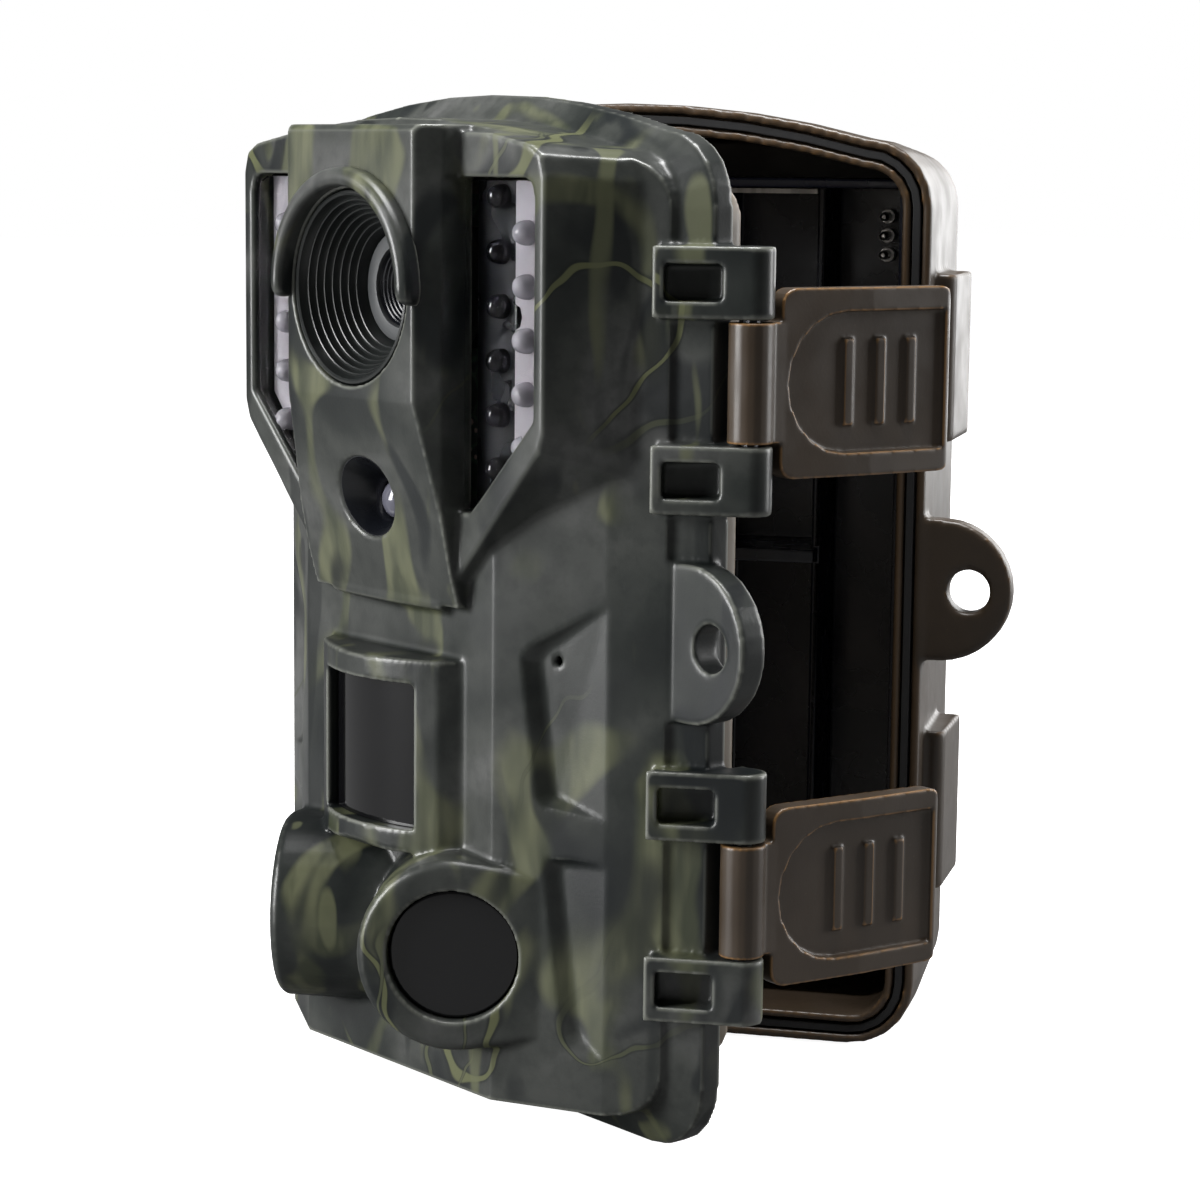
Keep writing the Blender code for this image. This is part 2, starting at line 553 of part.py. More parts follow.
def build_latches():
    for word, root, plate in zip(("upper", "lower"), LATCH_ROOTS, LATCH_PLATES):
        low, high = plate
        barrel = rod((LATCH_PIN.x, LATCH_PIN.y, root[0]), (0, 0, 1), root[1] - root[0], BARREL, 20)
        neck = prism_z([(48.4, 0.6), (51.6, 0.6), (51.3, 5.0), (48.4, 5.0)], root[0], root[1])
        outline = [(48.4, 4.0), (51.3, 4.0), (51.6, 18.0), (51.0, 31.0), (50.0, 32.0), (48.4, 32.0)]
        panel = prism_z(outline, low, high)
        corners = ((6.2, low + 2.2, 180), (29.8, low + 2.2, 270), (29.8, high - 2.2, 0), (6.2, high - 2.2, 90))
        edge = [(y + 2.2 * cos(radians(first + 22.5 * i)), z + 2.2 * sin(radians(first + 22.5 * i)))
                for y, z, first in corners for i in range(5)]
        panel = common(panel, prism_x(edge, 40.0, 60.0))
        hook = prism_z([(48.8, 22.3), (44.7, 22.3), (44.7, 23.6), (46.8, 26.2), (48.8, 26.2)],
                       low + 1.5, high - 1.5)
        latch = join(barrel, neck, panel, hook)
        middle = (low + high) / 2
        recess = [(14.2 - 9.0 * cos(pi * i / 10 - pi / 2), middle + 9.0 * sin(pi * i / 10 - pi / 2))
                  for i in range(11)] + [(30.4, middle + 9.0), (30.4, middle - 9.0)]
        latch = cut(latch, prism_x(recess, 50.4, 54.0))
        latch = join(latch, *[block(50.0, 50.9, y - 0.8, y + 0.8, middle - 5.5, middle + 5.5)
                              for y in (15.0, 20.0, 25.0)])
        latch = cut(latch, rod((LATCH_PIN.x, LATCH_PIN.y, root[0] - 1), (0, 0, 1), 30, PIN + GAP, 14))
        axis = pivot("latch_axis_" + word, (LATCH_PIN.x, LATCH_PIN.y, middle), -LATCH_REST)
        finish(latch, "latch_" + word, "brown", axis, (LATCH_PIN.x, LATCH_PIN.y, middle))
    for word, low, high in (("upper", LUGS[1][0], LUGS[0][1]), ("lower", LUGS[3][0], LUGS[2][1])):
        pin = rod((LATCH_PIN.x, LATCH_PIN.y, low + 1.8), (0, 0, 1), high - low - 3.6, PIN, 14)
        finish(pin, "latch_pin_" + word, "steel")
    for word, near, far in zip(("lower", "upper"), FRONT_KNUCKLES, REAR_KNUCKLES):
        bottom, top = min(near[0], far[0]) + 1.3, max(near[1], far[1]) - 1.3
        finish(rod((HINGE.x, HINGE.y, bottom), (0, 0, 1), top - bottom, PIN, 14), "hinge_pin_" + word, "steel")


# ---------------------------------------------------------------- rear shell

def rear_ring(inset, y, corner=CORNER):
    outline = arched(REAR_LEFT + inset, REAR_RIGHT - inset, inset, HEIGHT - 0.4 - inset, max(corner - inset, 3.0))
    return [(x, y, z) for x, z in outline]


def build_rear_shell(door):
    shell = loft("rear_shell", [rear_ring(0.0, REAR_FRONT), rear_ring(0.0, 8.0), rear_ring(1.4, 36.0),
                                rear_ring(3.4, 41.5), rear_ring(6.6, REAR_BACK)])
    mouth = loft("tool", [rear_ring(RIM, REAR_FRONT - 1), rear_ring(RIM, REAR_BACK - REAR_WALL)])
    shell = cut(shell, mouth)
    for low, high in LATCH_PLATES:
        outline = [(42.0, CATCH_FRONT), (CATCH_OUT - 1.0, CATCH_FRONT), (CATCH_OUT, CATCH_FRONT + 1.0),
                   (CATCH_OUT, CATCH_BACK), (42.5, CATCH_BACK)]
        shell = join(shell, prism_z(outline, low, high))
    shell = join(shell, ear(0.6, 4.6))
    for low, high in REAR_KNUCKLES:
        shell = join(shell, rod((HINGE.x, HINGE.y, low), (0, 0, 1), high - low, KNUCKLE))
        web = [(HINGE.x + 1.0, HINGE.y - 1.0), (-44.5, 0.8), (-44.5, 5.0), (HINGE.x, HINGE.y + 2.4)]
        shell = join(shell, prism_z(web, low + 0.2, high - 0.2))
        shell = cut(shell, rod((HINGE.x, HINGE.y, low - 1), (0, 0, 1), high - low + 2, PIN + GAP, 14))
    shell = join(shell, rod((0, 24, 1.0), (0, 0, 1), 9.6, 7.0, 20))
    shell = cut(shell, rod((0, 24, -1), (0, 0, 1), 20, 4.6, 20))
    for side in (1, -1):
        loop = cut(block(side * 22 - 3.0, side * 22 + 3.0, REAR_BACK - 1.0, REAR_BACK + 6.6, 50.0, 85.0),
                   block(side * 22 - 4.0, side * 22 + 4.0, REAR_BACK, REAR_BACK + 4.4, 53.0, 82.0))
        shell = join(shell, loop)
    groove_outer = loft("tool", [rear_ring(1.3, -1.0), rear_ring(1.3, REAR_FRONT + 2.2)])
    groove_inner = loft("tool", [rear_ring(3.0, -2.0), rear_ring(3.0, 6.0)])
    shell = cut(shell, cut(groove_outer, groove_inner))
    finish(shell, "rear_shell", "brown", door, HINGE)
    seal = cut(loft("door_seal", [rear_ring(1.6, 0.7), rear_ring(1.6, 2.3)]),
               loft("tool", [rear_ring(2.7, -1.0), rear_ring(2.7, 4.0)]))
    finish(seal, "door_seal", "rubber", door, HINGE)
    insert = cut(rod((0, 24, 0.4), (0, 0, 1), 9.8, 4.3, 20), rod((0, 24, -1), (0, 0, 1), 14, 3.1, 16))
    finish(insert, "tripod_insert", "brass", door, HINGE)


def build_battery_tray(door):
    wall = TRAY_WALL
    tray = block(TRAY_LEFT, TRAY_RIGHT, TRAY_FRONT, TRAY_BACK, TRAY_LOW, TRAY_HIGH, "battery_tray")
    tray = cut(tray, block(TRAY_LEFT + wall, TRAY_RIGHT - wall, 0.0, TRAY_BACK - wall, TRAY_LOW + wall,
                           TRAY_HIGH - wall))
    corners = common(loft("tool", [rear_ring(RIM + 0.4, TRAY_FRONT - 1), rear_ring(RIM + 0.4, TRAY_BACK + 1)]),
                     block(-50, 50, 0, 50, TRAY_LOW, HEIGHT))
    tray = common(tray, corners)
    start = TRAY_LEFT + wall
    for i in range(1, 5):
        x = start + i * CELL_PITCH
        tray = join(tray, block(x - RIB, x, 27.0, TRAY_BACK - 0.5, TRAY_LOW + 0.5, TRAY_HIGH - 0.5))
    middle = (TRAY_LOW + TRAY_HIGH) / 2
    tray = join(tray, block(TRAY_LEFT + 0.5, start + 4 * CELL_PITCH - 0.3, 24.0, TRAY_BACK - 0.5,
                            middle - 1.0, middle + 1.0))
    finish(tray, "battery_tray", "black", door, HINGE)
    for word, low in (("top", TRAY_HIGH - wall - 1.0), ("bottom", TRAY_LOW + wall + 0.3)):
        for i in range(4):
            x = start + i * CELL_PITCH
            plate = block(x + GAP, x + CELL_PITCH - RIB - GAP, 28.0, 38.5, low, low + 0.7)
            finish(plate, "cell_contact_%s_%d" % (word, i + 1), "steel", door, HINGE)
    for i in range(3):
        place = (31.0, TRAY_BACK - wall - 0.3, 114.0 + 2.9 * i)
        pin = turned(place, (0, -1, 0), [(0, 1.1), (2.0, 1.1), (2.0, 0.7), (5.0, 0.7), (5.6, 0.3)], 12)
        finish(pin, "power_contact_%d" % (i + 1), "steel", door, HINGE)


def main():
    clear_scene()
    build_front_housing()
    build_lens()
    build_lamps()
    build_motion_sensors()
    build_back_cover()
    build_electronics()
    build_latches()
    door = pivot("door_axis", HINGE, DOOR_OPEN)
    build_rear_shell(door)
    build_battery_tray(door)


main()
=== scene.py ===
import json
from math import cos, pi, radians, sin, sqrt

import bmesh
import bpy
import numpy as np
from mathutils import Matrix, Vector


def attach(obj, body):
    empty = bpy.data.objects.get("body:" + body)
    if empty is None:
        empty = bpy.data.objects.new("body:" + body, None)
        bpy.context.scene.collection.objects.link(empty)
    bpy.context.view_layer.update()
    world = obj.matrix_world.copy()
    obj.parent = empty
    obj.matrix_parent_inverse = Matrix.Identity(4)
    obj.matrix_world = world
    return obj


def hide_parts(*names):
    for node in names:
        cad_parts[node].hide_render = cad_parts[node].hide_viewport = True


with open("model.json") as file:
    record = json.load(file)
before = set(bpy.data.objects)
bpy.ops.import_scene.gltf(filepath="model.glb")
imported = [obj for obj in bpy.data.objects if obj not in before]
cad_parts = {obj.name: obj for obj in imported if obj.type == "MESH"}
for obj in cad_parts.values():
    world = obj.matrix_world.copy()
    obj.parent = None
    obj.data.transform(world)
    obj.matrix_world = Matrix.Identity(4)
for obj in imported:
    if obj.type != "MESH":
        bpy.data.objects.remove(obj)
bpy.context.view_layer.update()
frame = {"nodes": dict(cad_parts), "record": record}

MM = 0.001
FINE_SKIN, SKIN, COARSE_SKIN = 0.22, 0.36, 0.42      # grid of the moulded skins, in millimetres
SHIFT = Vector((0.0, 1.5, 0.0))      # added to every drawing point, which is in millimetres


# ---------------------------------------------------------------- mesh helpers

def link(name, mesh):
    obj = bpy.data.objects.new(name, mesh)
    bpy.context.scene.collection.objects.link(obj)
    return obj


def solid(name, points, faces):
    """One closed mesh from points in drawing millimetres."""
    mesh = bpy.data.meshes.new(name)
    mesh.from_pydata([(Vector(p) + SHIFT) * MM for p in points], [], faces)
    work = bmesh.new()
    work.from_mesh(mesh)
    bmesh.ops.recalc_face_normals(work, faces=work.faces)
    work.to_mesh(mesh)
    work.free()
    return link(name, mesh)


def loft(name, rings, closed=False):
    """Solid through equal rings of points, capped at both ends unless it closes on itself."""
    count = len(rings[0])
    points = [p for ring in rings for p in ring]
    faces = [] if closed else [list(range(count)), list(range(len(points) - count, len(points)))]
    for level in range(len(rings) - (0 if closed else 1)):
        low, high = level * count, (level + 1) % len(rings) * count
        for i in range(count):
            j = (i + 1) % count
            faces.append([low + i, low + j, high + j, high + i])
    return solid(name, points, faces)


def prism(axis, outline, start, end, name="tool"):
    """Straight solid along an axis, from an outline in the other two."""
    order = {"x": lambda a, b, c: (c, a, b), "y": lambda a, b, c: (a, c, b),
             "z": lambda a, b, c: (a, b, c)}[axis]
    return loft(name, [[order(a, b, c) for a, b in outline] for c in (start, end)])


def circle(radius, count, tall=1.0):
    turns = [2 * pi * i / count for i in range(count)]
    return [(radius * cos(turn), tall * radius * sin(turn)) for turn in turns]


def basis(axis):
    """Unit vector along an axis and two square to it."""
    axis = Vector(axis).normalized()
    side = Vector((0, 0, 1)) if abs(axis.z) < 0.9 else Vector((1, 0, 0))
    across = axis.cross(side).normalized()
    return axis, across, axis.cross(across)


def turned(name, start, axis, profile, count=64, ring=False):
    """Round piece: (distance along the axis, radius) pairs; ring closes the profile on itself."""
    axis, across, other = basis(axis)
    rings = [[Vector(start) + axis * along + across * a + other * b for a, b in circle(radius, count)]
             for along, radius in profile]
    return loft(name, rings, closed=ring)


def hull(points):
    mesh = bpy.data.meshes.new("tool")
    work = bmesh.new()
    for p in points:
        work.verts.new((Vector(p) + SHIFT) * MM)
    bmesh.ops.convex_hull(work, input=work.verts)
    bmesh.ops.delete(work, geom=[v for v in work.verts if not v.link_faces], context="VERTS")
    bmesh.ops.recalc_face_normals(work, faces=work.faces)
    work.to_mesh(mesh)
    work.free()
    return link("tool", mesh)


def apply_modifiers(obj):
    bpy.context.view_layer.update()
    graph = bpy.context.evaluated_depsgraph_get()
    mesh = bpy.data.meshes.new_from_object(obj.evaluated_get(graph))
    obj.modifiers.clear()
    obj.data = mesh
    return obj


def combine(obj, operation, *tools):
    for tool in tools:
        change = obj.modifiers.new("combine", "BOOLEAN")
        change.operation, change.solver, change.object = operation, "EXACT", tool
        apply_modifiers(obj)
        bpy.data.objects.remove(tool, do_unlink=True)
    return obj


def join(obj, *tools):
    return combine(obj, "UNION", *tools)


def cut(obj, *tools):
    return combine(obj, "DIFFERENCE", *tools)


def copy_node(node, name):
    return link(name, frame["nodes"][node].data.copy())


def melt(obj, voxel, rounds):
    """Even skin with softly rounded moulded edges."""
    remesh = obj.modifiers.new("remesh", "REMESH")
    remesh.mode, remesh.voxel_size, remesh.adaptivity = "VOXEL", voxel * MM, 0.0
    soften = obj.modifiers.new("soften", "SMOOTH")
    soften.iterations, soften.factor = rounds, 0.5
    return apply_modifiers(obj)


def mark_edges(obj, reach=0.9, rounds=2):
    """Stores how sharply each point of an even skin curves outwards, for the painted edge highlights (partly
    edge wear) in the materials.
    """
    mesh = obj.data
    count = len(mesh.vertices)
    place = np.zeros(count * 3, np.float32)
    mesh.vertices.foreach_get("co", place)
    place = place.reshape(-1, 3)
    normal = np.zeros(count * 3, np.float32)
    mesh.vertex_normals.foreach_get("vector", normal)
    normal = normal.reshape(-1, 3)
    pairs = np.zeros(len(mesh.edges) * 2, np.int32)
    mesh.edges.foreach_get("vertices", pairs)
    a, b = pairs[0::2], pairs[1::2]
    gap = place[b] - place[a]
    bend = ((normal[b] - normal[a]) * gap).sum(1) / np.maximum((gap * gap).sum(1), 1e-12)
    degree = np.bincount(pairs, minlength=count)
    total = np.bincount(a, bend, count) + np.bincount(b, bend, count)
    value = total / np.maximum(degree, 1)
    for _ in range(rounds):
        near = np.bincount(a, value[b], count) + np.bincount(b, value[a], count)
        value = 0.4 * value + 0.6 * near / np.maximum(degree, 1)
    value = np.clip(value * reach * MM, -1.0, 1.0)
    attribute = mesh.attributes.get("edge") or mesh.attributes.new("edge", "FLOAT", "POINT")
    attribute.data.foreach_set("value", value.astype(np.float32))
    return obj


def bevel(obj, width):
    """Crisp rounded edges on a flat-sided solid."""
    work = bmesh.new()
    work.from_mesh(obj.data)
    bmesh.ops.remove_doubles(work, verts=work.verts, dist=1e-6)
    bmesh.ops.dissolve_limit(work, angle_limit=radians(1.0), verts=work.verts, edges=work.edges)
    work.to_mesh(obj.data)
    work.free()
    change = obj.modifiers.new("bevel", "BEVEL")
    change.width, change.segments = width * MM, 2
    change.limit_method, change.angle_limit = "ANGLE", radians(32.0)
    change.use_clamp_overlap, change.harden_normals = True, False
    return apply_modifiers(obj)


def settle(obj, body, finish, nodes=(), angle=None):
    """Finish a piece: material, shading, the body it moves with and the nodes it stands for."""
    obj.data.materials.clear()
    obj.data.materials.append(finish)
    obj.data.shade_smooth()
    if angle is not None:
        obj.data.set_sharp_from_angle(angle=radians(angle))
    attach(obj, body)
    if nodes:
        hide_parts(*nodes)


# ---------------------------------------------------------------- materials

class Finish:
    """Procedural material on one Principled shader, with coordinates in metres."""

    def __init__(self, name, roughness=0.5, metallic=0.0):
        self.material = bpy.data.materials.new(name)
        self.material.use_nodes = True
        self.tree = self.material.node_tree
        self.shader = self.tree.nodes["Principled BSDF"]
        self.place = self.node("ShaderNodeTexCoord").outputs["Object"]
        self.shader.inputs["Roughness"].default_value = roughness
        self.shader.inputs["Metallic"].default_value = metallic

    def feed(self, socket, value):
        if isinstance(value, bpy.types.NodeSocket):
            self.tree.links.new(value, socket)
        elif value is not None:
            socket.default_value = value

    def node(self, kind, **settings):
        made = self.tree.nodes.new(kind)
        for key, value in settings.items():
            setattr(made, key, value)
        return made

    def stretch(self, scale, turn=(0, 0, 0), source=None):
        made = self.node("ShaderNodeMapping")
        self.feed(made.inputs["Vector"], source or self.place)
        made.inputs["Scale"].default_value = scale
        made.inputs["Rotation"].default_value = [radians(v) for v in turn]
        return made.outputs["Vector"]

    def noise(self, scale, detail=2.0, rough=0.5, twist=0.0, source=None):
        made = self.node("ShaderNodeTexNoise")
        self.feed(made.inputs["Vector"], source or self.place)
        settings = (("Scale", scale), ("Detail", detail), ("Roughness", rough), ("Distortion", twist))
        for key, value in settings:
            made.inputs[key].default_value = value
        return made.outputs["Fac"]

    def cells(self, scale, feature="F1"):
        made = self.node("ShaderNodeTexVoronoi", feature=feature)
        self.feed(made.inputs["Vector"], self.place)
        made.inputs["Scale"].default_value = scale
        return made.outputs["Distance"]

    def warped(self, amount, scale):
        """Coordinates pushed about by noise, for shapes that don't follow straight lines."""
        made = self.node("ShaderNodeTexNoise")
        self.feed(made.inputs["Vector"], self.place)
        made.inputs["Scale"].default_value = scale
        made.inputs["Detail"].default_value = 1.0
        push = self.node("ShaderNodeVectorMath", operation="MULTIPLY_ADD")
        self.feed(push.inputs[0], made.outputs["Color"])
        push.inputs[1].default_value = (amount,) * 3
        self.feed(push.inputs[2], self.place)
        return push.outputs["Vector"]

    def span(self, value, low, high, to_low=0.0, to_high=1.0):
        made = self.node("ShaderNodeMapRange", interpolation_type="SMOOTHSTEP")
        self.feed(made.inputs["Value"], value)
        limits = (("From Min", low), ("From Max", high), ("To Min", to_low), ("To Max", to_high))
        for key, number in limits:
            made.inputs[key].default_value = number
        return made.outputs["Result"]

    def math(self, operation, a, b):
        made = self.node("ShaderNodeMath", operation=operation)
        self.feed(made.inputs[0], a)
        self.feed(made.inputs[1], b)
        return made.outputs["Value"]

    def mix(self, share, a, b):
        made = self.node("ShaderNodeMix", data_type="RGBA")
        self.feed(made.inputs[0], share)
        for socket, value in ((made.inputs[6], a), (made.inputs[7], b)):
            self.feed(socket, (*value, 1.0) if isinstance(value, tuple) and len(value) == 3 else value)
        return made.outputs[2]

    def ramp(self, value, stops):
        made = self.node("ShaderNodeValToRGB")
        self.feed(made.inputs["Fac"], value)
        spots = made.color_ramp.elements
        while len(spots) < len(stops):
            spots.new(0.5)
        for spot, (where, colour) in zip(spots, stops):
            spot.position, spot.color = where, (*colour, 1.0)
        return made.outputs["Color"]

    # Convex-edge mask from the stored attribute; it drives the painted edge highlights, partly edge wear
    def edge(self, low, high):
        made = self.node("ShaderNodeAttribute", attribute_name="edge")
        return self.span(made.outputs["Fac"], low, high)

    def bump(self, height, distance, strength):
        made = self.node("ShaderNodeBump")
        self.feed(made.inputs["Height"], height)
        made.inputs["Distance"].default_value = distance * MM
        made.inputs["Strength"].default_value = strength
        return made.outputs["Normal"]

    def finish(self, colour, rough=None, normal=None):
        self.feed(self.shader.inputs["Base Color"], colour)
        self.feed(self.shader.inputs["Roughness"], rough)
        self.feed(self.shader.inputs["Normal"], normal)
        return self.material


def camo():
    """Printed camouflage: mottled ground, olive leaf shapes, dark shapes, branches and twigs."""
    f = Finish("camo_print")
    drift = f.warped(0.014, 40)
    ground = f.ramp(f.noise(26, 3.0, 0.55, 0.6, drift),
                    [(0.34, (0.008, 0.010, 0.010)), (0.46, (0.020, 0.023, 0.021)),
                     (0.56, (0.042, 0.045, 0.041)), (0.70, (0.105, 0.106, 0.104))])
    mottle = f.noise(420, 3.0, 0.6)
    ground = f.mix(f.span(mottle, 0.35, 0.75, 0.0, 0.35), ground, (0.006, 0.008, 0.008))
    leaf_place = f.stretch((1.0, 1.0, 0.45), (28, 16, 0), f.warped(0.020, 34))
    leaf = f.span(f.noise(64, 1.5, 0.45, 1.0, leaf_place), 0.575, 0.635)
    vein = f.noise(260, 2.0, 0.5, 0.4, f.stretch((1.0, 1.0, 0.25), (40, 20, 0)))
    leaf_tone = f.ramp(vein, [(0.35, (0.040, 0.046, 0.026)), (0.65, (0.120, 0.126, 0.072))])
    colour = f.mix(f.math("MULTIPLY", leaf, 0.8), ground, leaf_tone)
    dark_place = f.stretch((1.0, 1.0, 0.5), (-32, 22, 40), f.warped(0.022, 36))
    dark = f.span(f.noise(52, 1.5, 0.4, 1.4, dark_place), 0.565, 0.64)
    colour = f.mix(f.math("MULTIPLY", dark, 0.85), colour, (0.007, 0.009, 0.010))
    shown = f.span(f.noise(22, 1.0), 0.52, 0.60)
    stems = ((13, 0.0035, (0.120, 0.128, 0.060)), (21, 0.0026, (0.075, 0.082, 0.046)))
    for scale, spread, tone in stems:
        path = f.math("SUBTRACT", f.noise(scale, 1.0, 0.4, 0.8, f.warped(0.005, 130)), 0.5)
        path = f.math("ABSOLUTE", path, 0.0)
        shade_side = f.math("MULTIPLY", f.span(path, spread * 1.6, spread * 3.2, 1.0, 0.0), shown)
        colour = f.mix(f.math("MULTIPLY", shade_side, 0.7), colour, (0.008, 0.010, 0.009))
        branch = f.math("MULTIPLY", f.span(path, spread, spread * 1.7, 1.0, 0.0), shown)
        colour = f.mix(f.math("MULTIPLY", branch, 0.75), colour, tone)
    for turn, tone in (((35, 48, 0), (0.105, 0.112, 0.062)), ((-30, -40, 20), (0.006, 0.008, 0.008))):
        twig = f.noise(150, 1.0, 0.4, 0.3, f.stretch((1.0, 1.0, 0.10), turn, f.warped(0.004, 60)))
        colour = f.mix(f.span(twig, 0.66, 0.71, 0.0, 0.7), colour, tone)
    # painted highlight along convex edges, partly edge wear: a lighter colour where the skin curves outwards
    colour = f.mix(f.edge(0.25, 0.9), colour, (0.130, 0.135, 0.118))
    grain = f.noise(2600, 2.0, 0.6)
    rough = f.span(f.noise(90, 3.0), 0.3, 0.7, 0.30, 0.42)
    f.shader.inputs["Specular IOR Level"].default_value = 0.42
    return f.finish(colour, rough, f.bump(grain, 0.025, 0.5))


def moulded(name, colour, lighter, rough, edge_highlight_colour=None, speck=None):
    f = Finish(name)
    tone = f.mix(f.span(f.noise(45, 4.0, 0.6), 0.3, 0.7), colour, lighter)
    if speck:
        tone = f.mix(f.span(f.cells(420), 0.02, 0.08, 0.5, 0.0), tone, speck)
    if edge_highlight_colour:
        # Painted highlight along convex edges, partly edge wear
        tone = f.mix(f.edge(0.3, 0.95), tone, edge_highlight_colour)
    gloss = f.span(f.noise(130, 3.0), 0.3, 0.7, *rough)
    return f.finish(tone, gloss, f.bump(f.noise(2400, 2.0, 0.6), 0.02, 0.5))


def glassy(name, colour, rough, clear=0.0, ior=1.5):
    f = Finish(name, rough)
    smudge = f.span(f.noise(220, 3.0), 0.35, 0.75, rough, rough + 0.05)
    f.shader.inputs["Transmission Weight"].default_value = clear
    f.shader.inputs["IOR"].default_value = ior
    lighter = tuple(min(1.0, c * 1.15) for c in colour)
    return f.finish(f.mix(f.span(f.noise(60, 2.0), 0.3, 0.7), colour, lighter), smudge)


def metal(name, colour, rough=0.28):
    f = Finish(name, rough, 1.0)
    lines = f.noise(900, 2.0, 0.5, 0.0, f.stretch((1.0, 1.0, 0.06)))
    tone = f.mix(f.span(lines, 0.35, 0.65), colour, tuple(c * 0.82 for c in colour))
    return f.finish(tone, f.span(lines, 0.3, 0.7, rough, rough + 0.14), f.bump(lines, 0.004, 0.4))


def circuit():
    f = Finish("circuit_board", 0.4)
    paths = f.span(f.cells(240, "DISTANCE_TO_EDGE"), 0.04, 0.08)
    tone = f.mix(paths, (0.030, 0.120, 0.060), (0.010, 0.060, 0.032))
    pads = f.span(f.cells(330), 0.12, 0.16)
    tone = f.mix(pads, (0.42, 0.40, 0.34), tone)
    return f.finish(tone, f.span(f.noise(80), 0.3, 0.7, 0.3, 0.45), f.bump(paths, 0.03, 0.4))


CAMO = camo()
# The colour after the roughness pair in BROWN, TAN, BLACK, NAVY and TRAP is a painted highlight along convex
# edges, partly edge wear; it shows only on pieces whose edges are marked
BROWN = moulded("brown_plastic", (0.034, 0.023, 0.014), (0.050, 0.034, 0.021), (0.36, 0.46),
                (0.20, 0.105, 0.035), (0.07, 0.05, 0.03))
TAN = moulded("tan_plastic", (0.120, 0.100, 0.078), (0.150, 0.125, 0.095), (0.40, 0.52),
              (0.24, 0.19, 0.14))
BLACK = moulded("black_plastic", (0.004, 0.005, 0.007), (0.008, 0.009, 0.012), (0.22, 0.34),
                (0.04, 0.04, 0.05))
NAVY = moulded("dark_tray", (0.003, 0.004, 0.009), (0.006, 0.007, 0.014), (0.20, 0.32),
               (0.03, 0.03, 0.045))
STRIP = moulded("lamp_strip", (0.34, 0.32, 0.35), (0.42, 0.40, 0.44), (0.35, 0.45))
RUBBER = moulded("rubber", (0.012, 0.012, 0.013), (0.020, 0.020, 0.021), (0.6, 0.75))
DARK_GLASS = glassy("dark_window", (0.003, 0.003, 0.0035), 0.05)
LENS = glassy("lens_glass", (0.002, 0.003, 0.006), 0.02, ior=1.7)
CLEAR = glassy("clear_plastic", (0.96, 0.96, 0.98), 0.03, 1.0, 1.45)
PANE = glassy("clear_pane", (0.97, 0.97, 0.98), 0.02, 1.0, 1.12)
STEEL = metal("plated_steel", (0.62, 0.61, 0.59))
BRASS = metal("brass", (0.62, 0.44, 0.19), 0.3)
BOARD = circuit()
TRAP = moulded("trap_plastic", (0.010, 0.012, 0.012), (0.022, 0.024, 0.023), (0.28, 0.38),
               (0.10, 0.11, 0.11))
BEZEL = moulded("lens_bezel", (0.040, 0.043, 0.046), (0.055, 0.058, 0.060), (0.35, 0.5))
DARK_DOME = glassy("lamp_dome", (0.004, 0.004, 0.006), 0.06)
PALE_DOME = glassy("pale_dome", (0.30, 0.29, 0.32), 0.05)
EYE = glassy("sensor_eye", (0.10, 0.10, 0.125), 0.04)
DARK_STEEL = metal("dark_steel", (0.10, 0.10, 0.105), 0.3)


# ---------------------------------------------------------------- front housing

FACE, CORNER_LINE = Vector((21.3, -18.1, 0.0)), Vector((35.7, -10.9, 0.0))   # ends of the facet
ALONG = (CORNER_LINE - FACE).normalized()
OUTWARD = Vector((ALONG.y, -ALONG.x, 0.0))
TONGUE_FRONT = -26.0             # face of the raised middle part
LENS_Z, LENS_RING = 111.0, 12.9
SENSOR_Z, SENSOR_BACK = 82.6, -17.6
PIR = Vector((19.4, -23.1, 24.4))                      # middle of the right side motion sensor
WINDOW_TOP, WINDOW_LOW = 125.6, 82.6
WINDOW_LEFT, WINDOW_RIGHT = 16.25, 31.7
LAMP_BACK = -16.7


def facet(u, z, depth, side):
    """A point on the slanted facet: u along it, z up, depth below its surface."""
    p = FACE + ALONG * u - OUTWARD * depth + Vector((0, 0, z))
    return Vector((side * p.x, p.y, p.z))


def pocket(rim, floor, side):
    """Wedge-shaped recess in the facet that runs out to nothing at the corner line."""
    proud = -0.25
    top = [facet(u, z, proud, side) for u, z in rim]
    low = [facet(u, z, depth, side) for u, z, depth in floor]
    return loft("tool", [top, low])


UPPER_RIM = [(17.4, 73.2), (5.0, 66.0), (3.6, 64.3), (5.9, 45.8), (7.1, 44.6), (17.4, 42.4)]
UPPER_FLOOR = [(16.0, 71.4, 0.1), (7.0, 65.2, 1.5), (6.2, 63.8, 1.6), (8.4, 46.8, 1.6), (8.8, 46.2, 1.5),
               (16.0, 43.9, 0.1)]
LOWER_RIM = [(17.4, 38.8), (7.3, 38.2), (6.9, 36.3), (9.8, 14.2), (11.4, 12.8), (17.4, 8.8)]
LOWER_FLOOR = [(16.0, 37.6, 0.1), (9.5, 37.2, 1.5), (9.4, 36.0, 1.5), (12.0, 15.4, 1.2), (12.6, 14.6, 1.1),
               (16.0, 12.0, 0.1)]


def window_outline(side, shrink):
    """Outline of a lamp window in X and Z, with its lower outer corner cut off."""
    left, right = WINDOW_LEFT + shrink, WINDOW_RIGHT - shrink
    top, low = WINDOW_TOP - shrink, WINDOW_LOW + shrink
    points = [(left, top), (right - 2.0, top), (right - 0.5, top - 0.7), (right, top - 2.4),
              (right, low + 12.6), (left + 2.6 - 1.6 * shrink, low), (left, low)]
    return [(side * x, z) for x, z in points]


